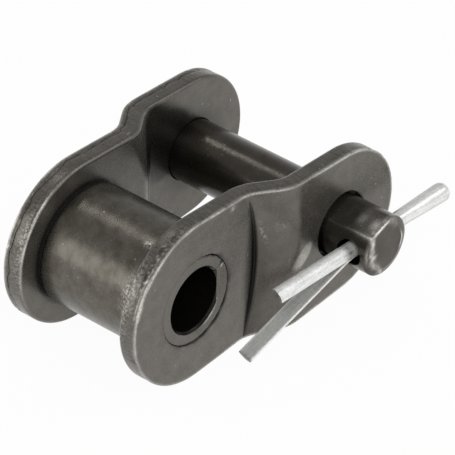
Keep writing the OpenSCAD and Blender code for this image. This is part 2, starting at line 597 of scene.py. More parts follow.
@dataclass
class CrankedPlate:
    """Side plate: a blank with two round ends, pressed to an S in plan.

    The plate is worked out on the +Y side and mirrored for the front. Its outline,
    seen along Y, is two circles and the straight lines that touch both. Its faces
    are three patches each: a ring round each hole, and the cranked strip between.
    """

    side: Side
    node: str
    pin_hole_r: float
    seed: int
    # The blank, its holes, and the strip between its two rings
    pitch: float = 12.7
    thickness: float = 1.4
    narrow_r: float = 5.9
    wide_r: float = 5.3
    outline_mm: float = 60.0
    bush_hole_r: float = 3.16
    bush_hole_round: float = 0.08
    pin_hole_round: float = 0.07
    roller_r: float = 4.25
    strip_from: float = 4.3
    strip_to: float = 9.4
    # The crank, with bends that widen and bow towards the rims
    inner_half: float = 4.15
    fork_half: float = 5.75
    crank_x: float = 5.55
    crank_len: float = 2.4
    bend_r: float = 0.45
    bend_r_rim: float = 1.8
    bow_1: float = 0.84
    bow_2: float = 0.3
    bow_at_rim: float = -0.2
    bow_clear: float = 0.1
    # The crease: its middle and half length, and its widths at the tips and what the middle adds
    crease_depth: float = 0.3
    crease_shift: float = 0.02
    crease_z: float = -0.25
    crease_half: float = 5.45
    crease_flat_side: tuple[float, float] = (0.05, 0.4)
    crease_slope_side: tuple[float, float] = (0.03, 0.08)
    # The sheared edge
    burr_inset: float = 0.05
    roll_inset: float = 0.26
    roll_depth: float = 0.3
    # How strong the marks are, and where they lie as X and Z or as arcs about the bush
    tear: float = 0.5
    lip: float = 0.0
    # The next three are strengths: of a painted reflection of the short leg, of painted shade and dark
    # reflection on the inner face, and of painted shade in the bend
    scuff: float = 0.0
    oil: float = 0.0
    grease: float = 0.0
    skin: float = 0.3
    knock_at: tuple[float, float] = (3.4, 5.35)
    scuff_at: tuple[float, float] = (8.82, -0.46)
    pit_at: tuple[float, float] = (7.2, 2.5)
    pit_line_at: tuple[float, float] = (6.3, 2.0)
    # Middle of the painted shade beside the pin
    stain_at: tuple[float, float] = (10.2, 2.4)
    far_end: Arc = Arc(150.0, 0.7)
    upper_left: Arc = Arc(140.0, 0.6)
    torn_arc: Arc = Arc(125.0, 0.6)
    rubbed_arc: Arc = Arc(155.0, 0.5)
    # Rows and columns of the grids, and the steps that undo the bow
    strip_rows: int = 113
    edge_crowding: float = 0.4
    ring_rows: int = 22
    narrow_stations: int = 260
    wide_stations: int = 230
    unbow_steps: int = 20
    unbow_share: float = 0.4
    angle: float = field(init=False)
    bend_1_x: float = field(init=False)
    bend_2_x: float = field(init=False)

    def __post_init__(self) -> None:
        """Works out the crank's angle and where its bends start and end."""
        depth = self.fork_half - self.inner_half
        self.angle = math.atan2(depth, self.crank_len)
        run = (self.bend_r + self.thickness / 2) * math.tan(self.angle / 2)
        self.bend_1_x = self.crank_x - run
        self.bend_2_x = self.crank_x + self.crank_len + run

    def centre(self, narrow: bool) -> float:
        """X of the hole at the bush's end, or at the pin's end."""
        return 0.0 if narrow else self.pitch

    def flat_x(self, narrow: bool) -> float:
        """An X at which the faces of that end are flat."""
        return -1.0 if narrow else self.pitch

    def face_y(self, x: np.ndarray, z: np.ndarray, outer: bool) -> np.ndarray:
        """Height of a face over the link's middle plane: flat, arc, slope, arc, flat.

        The arcs are tightest at mid height and grow towards the rims as Z squared.

        Args:
            x: Place along the link, before the bend lines are bowed.
            z: Place across the link.
            outer: Whether it is the outer face, whose first bend is the hollow one.

        Returns:
            Y of the face.
        """
        small = self.bend_r + (self.bend_r_rim - self.bend_r) * (z / self.wide_r) ** 2
        large = small + self.thickness
        run = (small + self.thickness / 2) * math.tan(self.angle / 2)
        start, end = self.crank_x - run, self.crank_x + self.crank_len + run
        r1, r2 = (small, large) if outer else (large, small)
        c1 = self.inner_half + self.thickness + small
        c2 = self.fork_half - small
        x1 = start + r1 * math.sin(self.angle)
        x2 = end - r2 * math.sin(self.angle)
        arc_1 = c1 - np.sqrt(np.maximum(r1 ** 2 - (x - start) ** 2, 0.0))
        arc_2 = c2 + np.sqrt(np.maximum(r2 ** 2 - (x - end) ** 2, 0.0))
        slope = c1 - r1 * math.cos(self.angle) + (x - x1) * math.tan(self.angle)
        conditions = [x < start, x < x1, x < x2, x < end]
        return np.select(conditions, [c1 - r1 + 0.0 * x, arc_1, slope, arc_2], c2 + r2 + 0.0 * x)

    def hole_size(self, narrow: bool, a: np.ndarray) -> tuple[float, np.ndarray]:
        """Finds a hole's radius and the radius of its rounded edge.

        The bush's hole is rounder at the lower right, where its press fit shows as a line.

        Args:
            narrow: Whether it is the bush's hole.
            a: Angles round the hole.

        Returns:
            The hole's radius, and the edge's radius at each angle.
        """
        if not narrow:
            return self.pin_hole_r, np.full_like(a, self.pin_hole_round)
        ragged = 1.0 + 0.5 * noise(8.0 * np.cos(a) + 20.0, 8.0 * np.sin(a) + 20.0, self.seed + 9)
        return self.bush_hole_r, self.bush_hole_round * (0.6 + 1.4 * press_gap(a)) * ragged

    def bow(self, x: np.ndarray, z: np.ndarray) -> np.ndarray:
        """Shifts the bend lines along X, by a parabola in Z that fades out before the holes.

        Args:
            x: Place along the link before bowing.
            z: Place across the link.

        Returns:
            The shift.
        """
        sag = np.interp(x, [self.bend_1_x, self.bend_2_x], [self.bow_1, self.bow_2])
        shift = sag * (1.0 - (z / self.wide_r) ** 2) + self.bow_at_rim * (z / self.wide_r) ** 2
        fade = ease(self.strip_from, self.bend_1_x - self.bow_clear, x)
        return shift * fade * (1.0 - ease(self.bend_2_x + self.bow_clear, self.strip_to, x))

    def crease(self, x: np.ndarray, z: np.ndarray) -> np.ndarray:
        """Presses a line into the hollow bend: a lens, steep on the slope's side.

        Args:
            x: Place along the link before bowing.
            z: Place across the link.

        Returns:
            Share of the full depth.
        """
        middle = np.clip(1.0 - ((z - self.crease_z) / self.crease_half) ** 2, 0.0, 1.0)
        place = self.bend_1_x + self.crease_shift
        sides = (self.crease_flat_side, self.crease_slope_side)
        on_flat, on_slope = (tip + more * middle for tip, more in sides)
        return bell(x, place, np.where(x < place, on_flat, on_slope)) * np.sqrt(middle)

    def unbowed(self, x: np.ndarray, z: np.ndarray) -> np.ndarray:
        """Finds the X that bowing moved to x, by stepping part of the way to x minus the bow.

        Args:
            x: Place along the link after bowing.
            z: Place across the link.

        Returns:
            Place along the link before bowing.
        """
        guess = x
        for _ in range(self.unbow_steps):
            guess = guess + self.unbow_share * (x - self.bow(guess, z) - guess)
        return guess

    def flank(self) -> tuple[float, float]:
        """Sine and cosine of the angle between a straight edge and X, from the two end radii."""
        sine = (self.narrow_r - self.wide_r) / self.pitch
        return sine, math.sqrt(1.0 - sine ** 2)

    def half_height(self, x: np.ndarray, inset: float | np.ndarray) -> np.ndarray:
        """Half height of the outline on its straight part, moved in by inset."""
        sine, cosine = self.flank()
        return (self.narrow_r - inset - sine * x) / cosine

    def strip(self, x0: np.ndarray, v: float | np.ndarray, inset: float | np.ndarray) -> Pair:
        """Places a point of the strip: v times the half height at its bowed X.

        Args:
            x0: Place along the link before bowing.
            v: Share of the half height, -1 to 1.
            inset: How far the edge is moved in.

        Returns:
            X and Z.
        """
        x = x0 + self.bow(x0, v * self.half_height(x0, inset))
        return x, v * self.half_height(x, inset)

    def end_arc(self, narrow: bool, inset: float | np.ndarray, t: np.ndarray) -> Pair:
        """Places a point on the outline round one end, from corner to corner.

        The radius is that of the end circle, or the end circle's radius over the
        cosine of the angle to the flank's normal where the ray meets the flank.

        Args:
            narrow: Whether it is the bush's end.
            inset: How far the edge is moved in.
            t: 0 at the upper corner to 1 at the lower one.

        Returns:
            X and Z.
        """
        normal = math.pi / 2 - math.asin(self.flank()[0])
        radius = self.narrow_r if narrow else self.wide_r
        line = self.strip_from if narrow else self.strip_to
        corner = np.arctan2(self.half_height(np.asarray(line), inset), line - self.centre(narrow))
        turn = 2.0 * np.pi - 2.0 * corner if narrow else -2.0 * corner
        a = corner + turn * t
        folded = np.abs(fold_angle(a))
        on_flank = folded < normal if narrow else folded > normal
        r = (radius - inset) / np.where(on_flank, np.cos(folded - normal), 1.0)
        return self.centre(narrow) + r * np.cos(a), r * np.sin(a)

    def columns(self) -> np.ndarray:
        """Spaces the columns along the strip, close together in the bends.

        Returns:
            Places along the link before bowing.
        """
        near_1 = [self.bend_1_x + x for x in (-0.6, -0.2, 0.5, 1.3)]
        near_2 = [self.bend_2_x + x for x in (-1.3, -0.5, 0.25)]
        places = [self.strip_from, *near_1, *near_2, self.strip_to]
        return steps(*zip(places[:-1], places[1:], (4, 8, 26, 10, 5, 10, 20, 7)))

    def shares(self) -> np.ndarray:
        """Places across the strip from -1 to 1, u plus a share of u - u^3, which is closer at the edges."""
        u = np.linspace(-1.0, 1.0, self.strip_rows)
        return u + self.edge_crowding * (u - u ** 3)

    def ring(self, narrow: bool, outer: bool, inset: float) -> tuple[Surface, np.ndarray]:
        """Flat ring round a hole: straight rays from the hole to the outline or the strip.

        Args:
            narrow: Whether it is the bush's end.
            outer: Whether it is the outer face.
            inset: How far the face's edge is moved in.

        Returns:
            The surface, and the angles of its rays.
        """
        t = np.linspace(0.0, 1.0, self.narrow_stations if narrow else self.wide_stations)
        v = self.shares()[1:-1]
        line = np.full_like(v, self.strip_from if narrow else self.strip_to)
        ends = zip(self.end_arc(narrow, inset, t), self.strip(line, v, inset))
        rim_x, rim_z = (np.concatenate(pair) for pair in ends)
        centre = self.centre(narrow)
        a = np.arctan2(rim_z, rim_x - centre)
        hole_r = sum(self.hole_size(narrow, a))
        hole_x, hole_z = centre + hole_r * np.cos(a), hole_r * np.sin(a)
        share = 0.5 - 0.5 * np.cos(np.linspace(0.0, np.pi, self.ring_rows))[:, None]
        x = hole_x + (rim_x - hole_x) * share
        z = hole_z + (rim_z - hole_z) * share
        y = self.face_y(np.full_like(x, self.flat_x(narrow)), z, outer)
        return Surface.grid(np.stack([x, y, z], -1), closed=True), a

    def face(self, outer: bool, inset: float) -> tuple[list[Surface], np.ndarray, np.ndarray]:
        """One face: two rings and the strip, whose Y follows the crank.

        Args:
            outer: Whether it is the outer face.
            inset: How far the face's edge is moved in.

        Returns:
            The surfaces, and the ray angles round the bush hole and the pin hole.
        """
        narrow, narrow_rays = self.ring(True, outer, inset)
        wide, wide_rays = self.ring(False, outer, inset)
        x0, v = np.meshgrid(self.columns(), self.shares(), indexing="ij")
        x, z = self.strip(x0, v, inset)
        y = self.face_y(x0, z, outer)
        if outer:
            y = y - self.crease_depth * self.crease(x0, z)
        return [narrow, Surface.grid(np.stack([x, y, z], -1)), wide], narrow_rays, wide_rays

    def edge_profile(self) -> np.ndarray:
        """Profile of the sheared edge across the thickness.

        From the outer face in, it is the burr, the torn band, the line where the tear
        began, the burnished band and the rounded edge that the die rolled.

        Returns:
            Two columns: depth in from the outer face, and inset from the outline.
        """
        burr = np.array([[0.0, self.burr_inset], [-0.012, 0.035], [-0.008, 0.015], [0.02, 0.0], [0.06, 0.0]])
        torn = np.linspace([0.12, 0.0], [0.3, 0.03], 5)
        groove = 0.02 + 0.1 * self.tear
        line = np.array([[0.34, 0.03], [0.37, groove], [0.4, groove], [0.43, 0.02], [0.47, 0.012]])
        flat_end = self.thickness - self.roll_depth
        burnished = np.linspace([0.57, 0.006], [flat_end, 0.0], 7)
        side, top = quarter(10)
        rolled = np.stack([flat_end + self.roll_depth * (1.0 - top), self.roll_inset * side], -1)[1:]
        return np.concatenate([burr, torn, line, burnished, rolled]).T[:, :, None]

    def wall(self) -> Surface:
        """Sheared edge: the profile, carried round the outline and roughened.

        Bumps and nicks move it in, and the line of the tear wanders through the
        thickness, all by smooth noise along the outline.

        Returns:
            The surface.
        """
        depth, inset = self.edge_profile()
        t_narrow = np.linspace(0.0, 1.0, self.narrow_stations)[None, :-1]
        t_wide = np.linspace(1.0, 0.0, self.wide_stations)[None, :-1]
        lower, upper = self.columns()[None, :-1], self.columns()[None, :0:-1]
        counts = [t_narrow.size, lower.size, t_wide.size, upper.size]
        station = np.linspace(0.0, self.outline_mm, sum(counts))[None, :]
        row = np.arange(depth.size)[:, None]
        within = (row > 1) & (row < depth.size - 1)
        ragged = bell(depth, 0.3, 0.22) * 0.025 + 0.005
        bump = ragged * (0.5 + 0.5 * noise(station / 0.22, depth / 0.35, self.seed))
        nick = 0.05 * ease(0.72, 0.95, noise(station / 0.35, depth / 0.8 + 9.0, self.seed + 1))
        wander = 0.13 * noise(station / 0.6, np.zeros_like(station), self.seed + 2) * bell(depth, 0.38, 0.14)
        inset = inset + np.where(within, bump + nick * (depth < 0.6), 0.0)
        in_1, in_2, in_3, in_4 = np.split(inset, np.cumsum(counts[:-1]), axis=1)
        runs = (self.end_arc(True, in_1, t_narrow), self.strip(lower, -1.0, in_2),
                self.end_arc(False, in_3, t_wide), self.strip(upper, 1.0, in_4))
        x, z = (np.concatenate(parts, 1) for parts in zip(*runs))
        plan_x = np.concatenate([np.full_like(t_narrow, self.flat_x(True)), lower,
                                 np.full_like(t_wide, self.flat_x(False)), upper], 1)
        top = self.face_y(plan_x, z, True) - self.crease_depth * self.crease(plan_x, z)
        bottom = self.face_y(plan_x, z, False)
        y = top - (top - bottom) * (depth + wander) / self.thickness
        return Surface.grid(np.stack([x, y, z], -1), closed=True)

    def hole(self, narrow: bool, outer_rays: np.ndarray, inner_rays: np.ndarray) -> Surface:
        """Wall of a hole: circles through the thickness, rounded at both faces.

        Args:
            narrow: Whether it is the bush's hole.
            outer_rays: Angles of its points on the outer face.
            inner_rays: Angles of its points on the inner face.

        Returns:
            The surface.
        """
        sink, grow = (np.concatenate([part, part[::-1]])[:, None] for part in quarter(5))
        inner = np.repeat([0.0, 1.0], 5)[:, None]
        a = outer_rays + fold_angle(inner_rays - outer_rays) * inner
        hole_r, round_r = self.hole_size(narrow, a)
        depth = np.where(inner < 0.5, round_r * sink, self.thickness - round_r * sink)
        top = self.face_y(np.full_like(a, self.flat_x(narrow)), np.zeros_like(a), True)
        points = turned(hole_r + round_r * grow, top - depth, a)
        return Surface.grid(points + np.array([self.centre(narrow), 0.0, 0.0]), closed=True)

    def edge_distance(self, x: np.ndarray, z: np.ndarray) -> np.ndarray:
        """Finds how far in from the outline a point is: from the nearer end circle or the flank.

        Args:
            x: Place along the link.
            z: Place across the link.

        Returns:
            The distance.
        """
        sine, cosine = self.flank()
        height = np.abs(z)
        along = cosine * x - sine * height
        flank = cosine * height + sine * x - self.narrow_r
        narrow_end, wide_end = np.hypot(x, z) - self.narrow_r, np.hypot(x - self.pitch, z) - self.wide_r
        straight = (along >= 0.0) & (along <= cosine * self.pitch)
        return -np.where(straight, flank, np.where(along < 0.0, narrow_end, wide_end))

    def places(self, points: np.ndarray) -> PlatePlaces:
        """Works out where points lie on the plate.

        Args:
            points: The plate's points on the +Y side.

        Returns:
            Their places.
        """
        x, y, z = points.T
        x0 = self.unbowed(x, z)
        top, bottom = self.face_y(x0, z, True), self.face_y(x0, z, False)
        depth = (top - y) / (top - bottom) * self.thickness
        edge = self.edge_distance(x, z)
        return PlatePlaces(x, z, x0, depth, edge, np.arctan2(z, x), 1.0 - ease(0.03, 0.16, edge))

    def torn(self, p: PlatePlaces) -> Pair:
        """Share of the wall's torn band, and a noise that gives it pits and glints."""
        rough = noise(p.turn * self.narrow_r / 0.12 + 250.0, p.depth / 0.12, self.seed + 12)
        return self.lip * p.wall * bell(p.depth, 0.45, 0.3) * self.torn_arc.at(p.turn), rough

    def worn(self, p: PlatePlaces) -> np.ndarray:
        """Finds where the plate is rubbed bright, and where highlights and a reflection are painted on it.

        Args:
            p: Places of its points.

        Returns:
            The bright share.
        """
        patchy = ease(-0.45, 0.4, noise(p.x / 0.9 + 40.0, p.z / 0.9 + 40.0, self.seed + 5))
        upper_left = self.upper_left.at(p.turn)
        # The burr, rubbed bright and partly a painted highlight along the edge, widest at the upper left and
        # in part rubbed away below the bush
        burr_width = 0.09 + 0.12 * upper_left * patchy
        burr = bell(p.edge, 0.03, burr_width) * bell(p.depth, 0.0, 0.12) * (0.6 + 0.4 * patchy)
        burr = burr * (1.0 - 0.5 * ease(0.0, 1.5, -p.z) * (p.x < 3.0) * (0.5 + 0.5 * patchy))
        # The lip of the tear, and the edge that the die rolled, whose bright line is partly a painted
        # highlight
        lip = self.lip * bell(p.depth, 0.3, 0.06) * p.wall * upper_left * patchy
        roll = 1.1 * bell(p.edge, 0.12, 0.07) * bell(p.depth, self.thickness - 0.1, 0.14)
        roll = roll * self.far_end.at(p.turn) * (0.45 + 0.55 * patchy)
        # A knock by the upper edge, and a painted reflection of the short leg: an oval that lies slanting
        # beside the pin
        knock = self.lip * bell(p.distance(*self.knock_at), 0.0, 0.17) * (p.depth < 0.25)
        x, z = p.x - self.scuff_at[0], p.z - self.scuff_at[1]
        oval = np.hypot(DIAGONAL * (x + z), 2.1 * DIAGONAL * (x - z))
        scuff = self.scuff * (1.0 - ease(0.8, 1.25, oval)) * (0.75 + 0.25 * patchy) * (p.depth < self.skin)
        torn, rough = self.torn(p)
        return np.clip(burr + roll + lip + scuff + knock + torn * ease(0.3, 0.7, rough), 0.0, 1.0)

    def soil(self, p: PlatePlaces) -> np.ndarray:
        """Finds where the plate is dirty, and where shade is painted on it.

        Args:
            p: Places of its points.

        Returns:
            The dark share: dirt and painted shade.
        """
        from_bush, from_pin = p.distance(0.0, 0.0), p.distance(self.pitch, 0.0)
        # Dirt in the line where the tear began, and in the pits of the torn band
        broken = ease(-0.1, 0.5, noise(p.x / 0.7, p.z / 0.7, self.seed + 7))
        tear = self.tear * bell(p.depth, 0.39, 0.045) * p.wall * broken
        torn, rough = self.torn(p)
        pits = torn * ease(0.1, 0.6, -rough)
        # Painted shade in the pressed crease, and painted shade in the bend beside it
        groove = self.crease(p.x0, p.z)
        pressed = np.clip(0.45 * groove + 0.9 * groove ** 2, 0.0, 1.0) * (p.depth < 0.5) * (1.0 - p.wall)
        in_bend = ease(self.bend_1_x - 0.05, self.bend_1_x + 0.05, p.x0) * bell(p.x0, self.bend_1_x, 0.9)
        bend_shade = self.grease * in_bend * ease(3.5, 0.5, p.z) * (p.depth < self.skin)
        # Painted shade in the gaps round the bush and the pin
        ragged = 0.9 + 0.8 * noise(p.x / 0.4 + 60.0, p.z / 0.4 + 60.0, self.seed + 9)
        gap = bell(from_bush, self.bush_hole_r, 0.03 + 0.16 * ragged) * (0.2 + 0.8 * press_gap(p.turn))
        pin_gap = 0.9 * (1.0 - ease(0.5, 1.0, (from_pin - self.pin_hole_r) / self.pin_hole_round))
        # Painted shade and painted dark reflection on the inner face: a patch beside the pin, cut off along a
        # slanting line, a ring round the pin and a band round the roller
        wavy = 0.3 * noise(p.x / 0.9, p.z / 0.9 + 20.0, self.seed + 13)
        stain = 1.0 - ease(2.9, 3.7, p.distance(*self.stain_at) + wavy)
        stain = stain * (1.0 - ease(11.3, 12.3, p.z + 0.7 * p.x + wavy))
        ring = 0.6 * bell(from_pin, self.pin_hole_r, 0.9)
        film = np.maximum(bell(from_bush, self.roller_r, 0.2), 0.25 * bell(from_bush, self.roller_r, 0.5))
        painted_shade_share = self.oil * np.maximum(np.maximum(stain, ring), film) * ease(1.1, 1.3, p.depth) * (1.0 - p.wall)
        return np.clip(tear + pressed + gap + pits + painted_shade_share + bend_shade + pin_gap, 0.0, 1.0)

    def frost(self, p: PlatePlaces) -> np.ndarray:
        """Finds where the plate is finely scratched: on its rubbed wall, and in a line and a spot of pits.

        Args:
            p: Places of its points.

        Returns:
            The scratched share.
        """
        rubbed = p.wall * bell(p.depth, 1.1, 0.35) * self.rubbed_arc.at(p.turn)
        line_x, line_z = self.pit_line_at
        line = bell(p.x, line_x + 0.29 * (line_z - p.z), 0.12) * bell(p.z, line_z, 0.9)
        pits = line + 0.5 * bell(p.distance(*self.pit_at), 0.0, 0.35)
        return np.clip(0.4 * rubbed + 0.4 * pits * (p.depth < self.skin), 0.0, 1.0)

    def build(self) -> bpy.types.Object:
        """Builds the plate's mesh on its own side.

        Returns:
            The plate.
        """
        outer, outer_narrow, outer_wide = self.face(True, self.burr_inset)
        inner, inner_narrow, inner_wide = self.face(False, self.roll_inset)
        whole = Surface.joined([*outer, *inner, self.wall(), self.hole(True, outer_narrow, inner_narrow),
                                self.hole(False, outer_wide, inner_wide)])
        p = self.places(whole.points)
        marks = {Mark.WALL: p.wall, Mark.WORN: self.worn(p), Mark.FROST: self.frost(p),
                 Mark.SOIL: self.soil(p)}
        whole.points = whole.points * np.array([1.0, self.side.value, 1.0])
        return whole.to_object(f"blanked_{self.node}", marks)


@dataclass
class Bush:
    """Bush curled from strip: a thick tube with a butt seam along one side."""

    bore_r: float = 2.25
    outer_r: float = 3.15
    end_y: float = 5.5
    chamfer: float = 0.17
    bright_half: float = 32.0
    round_r: float = 0.08
    seam_angle: float = 33.6
    seam_half: float = 0.035
    seam_depth: float = 0.22
    seam_zone: float = 0.12
    seam_columns: int = 33
    columns: int = 288
    lit: Arc = Arc(-52.0, 0.28)
    seed: int = 83

    def section(self, bright: np.ndarray) -> Pair:
        """Section through the wall: outside, rounded edge, end, chamfer and bore, at both ends.

        Args:
            bright: Share of the chamfer that stays bright, for each column.

        Returns:
            Radius and Y, of rows x columns.
        """
        side, top = quarter(6)
        face_r = np.linspace(self.outer_r - self.round_r, self.bore_r + self.chamfer, 7)[1:]
        sunk = self.chamfer * (bright + np.array([[-0.03], [0.02]]))
        ones = np.ones_like(bright)
        solid_r = np.concatenate([[self.outer_r] * 12, self.outer_r - self.round_r * side, face_r])
        bore_r = np.full((13, bright.size), self.bore_r)
        half_r = np.concatenate([solid_r[:, None] * ones, self.bore_r + self.chamfer - sunk, bore_r])
        wall_y = np.linspace(0.0, self.end_y - self.round_r, 13)[:-1]
        solid_y = np.concatenate([wall_y, self.end_y - self.round_r * top, np.full(6, self.end_y)])
        bore_y = np.linspace(self.end_y - self.chamfer, 0.0, 13)
        half_y = np.concatenate([solid_y[:, None] * ones, self.end_y - sunk, bore_y[:, None] * ones])
        return np.concatenate([half_r[::-1], half_r]), np.concatenate([-half_y[::-1], half_y])

    def build(self) -> bpy.types.Object:
        """Turns the section round Y, and sinks it along the seam.

        The seam is a bell-shaped dip of the radius and of the ends. The columns are
        closest together there, spaced by a cube.

        Returns:
            The bush.
        """
        near = np.linspace(-1.0, 1.0, self.seam_columns) ** 3 * self.seam_zone
        rest = np.linspace(self.seam_zone, 2 * np.pi - self.seam_zone, self.columns)[1:-1]
        from_seam = np.concatenate([near, rest])
        a = math.radians(self.seam_angle) + from_seam
        from_seam = from_seam * self.outer_r
        bright = np.clip(1.0 - (fold_angle(a) / math.radians(self.bright_half)) ** 2, 0.05, 0.95)
        r, y = self.section(bright)
        half_edge = 0.5 * self.round_r
        outside = (r > self.outer_r - half_edge) & (np.abs(y) < self.end_y - half_edge)
        at_end = np.abs(y) > self.end_y - 0.02
        dip = bell(from_seam, 0.0, self.seam_half)
        widened = dip + 0.5 * bell(from_seam, 0.0, 3.0 * self.seam_half) * (r > 2.95)
        end_dip = self.seam_depth * np.clip(widened, 0.0, 1.0) * at_end
        points = turned(r - self.seam_depth * dip * outside, y - np.sign(y) * end_dip, a)

        # Painted shade in the bore, the press fit's gap and a notch by the seam, and dirt in the seam
        inside = r < self.bore_r + self.chamfer * (1.0 - bright)
        gap = ease(2.98, 3.1, r) * press_gap(a) * (0.5 + 0.5 * noise(a / 0.08 + 90.0, 0.0 * a, self.seed))
        notch = bell(from_seam, 0.03, 0.14) * ease(2.8, 3.0, r)
        # A bright chip beside the seam, and a painted highlight on the edge of the chamfer
        chip = bell(from_seam, -0.2, 0.08) * bell(r, 2.9, 0.12) * at_end
        lit = 0.9 * self.lit.at(a) * bell(r, self.bore_r + self.chamfer + 0.03, 0.08)
        worn = chip + lit * (np.abs(y) > self.end_y - 0.3)
        return Surface.grid(points, closed=True).to_object("curled_bush", {
            Mark.WORN: np.clip(worn, 0.0, 1.0),
            Mark.SOIL: np.clip(inside + 0.8 * dip + gap + notch, 0.0, 1.0)})


@dataclass
class Roller:
    """Free roller: a plain ring with rounded rims."""

    outer_r: float = 4.25
    bore_r: float = 3.2
    half_len: float = 4.03
    rim_r: float = 0.4
    bore_round: float = 0.12
    wave: float = 0.006
    waves: int = 16
    columns: int = 320
    upper_rub: Arc = Arc(162.0, math.radians(17.0))
    top_rub: Arc = Arc(111.0, math.radians(4.0))
    seed: int = 31

    def build(self) -> bpy.types.Object:
        """Turns the ring's section round Y.

        The section is the outside, the rim's quarter circle, the end, a small round
        and the bore. The outside waves by some thousandths of a millimetre.

        Returns:
            The roller.
        """
        rim_side, rim_top = quarter(10)
        lip_side, lip_top = quarter(5)
        half_r = np.concatenate([[self.outer_r] * 20, self.outer_r - self.rim_r * rim_side,
                                 self.bore_r + self.bore_round * lip_top, [self.bore_r] * 8])
        land_y = np.linspace(0.0, self.half_len - self.rim_r, 21)[:-1]
        bore_y = np.linspace(self.half_len - self.bore_round, 0.0, 9)[1:]
        half_y = np.concatenate([land_y, self.half_len - self.rim_r * rim_top,
                                 self.half_len - self.bore_round * lip_side, bore_y])
        r = np.concatenate([half_r[:0:-1], half_r])[:, None]
        y = np.concatenate([-half_y[:0:-1], half_y])[:, None]
        a = np.linspace(0.0, 2 * np.pi, self.columns, endpoint=False)[None, :]
        wave = noise(self.waves * a / (2 * np.pi), y / 2.5 + 20.0, self.seed, self.waves) - 1.0
        points = turned(r + self.wave * wave * (r > self.outer_r - 0.01), y, a)

        # Scratched patches near the front rim, bright rims, and painted shade in the bore and at the rear end
        frost = 0.7 * self.upper_rub.at(a) * bell(y, -3.25, 0.35)
        frost = frost + 0.9 * self.top_rub.at(a) * bell(y, -2.9, 0.3)
        rubbed = 0.5 * bell(np.abs(y), self.half_len - 0.1, 0.12) * bell(r, self.outer_r - 0.08, 0.1)
        oil = np.maximum(r < self.bore_r + 0.05, 0.4 * ease(self.half_len - 0.6, self.half_len - 0.1, y))
        return Surface.grid(points, closed=True).to_object("cold_formed_roller", {
            Mark.WORN: rubbed, Mark.SOIL: oil, Mark.FROST: frost})


@dataclass
class PinPlaces:
    """Where the points of the connecting pin lie.

    Attributes:
        y: Place along the pin.
        a: Angle about its axis, in degrees.
        turn: The same in radians.
        out: Distance from its axis.
        up: Distance from its axis towards the flat.
        over: Distance across the flat, from its middle.
        on_flat: Share by which a point is on the flat.
        at_end: Whether a point is on the end or its bevel.
        share: Distance in from the rim, in widths of the bevel.
        beaten: Share by which the bevel is beaten there.
        patchy: Noise from 0 to 1 that breaks marks up.
    """

    y: np.ndarray
    a: np.ndarray
    turn: np.ndarray
    out: np.ndarray
    up: np.ndarray
    over: np.ndarray
    on_flat: np.ndarray
    at_end: np.ndarray
    share: np.ndarray
    beaten: np.ndarray
    patchy: np.ndarray


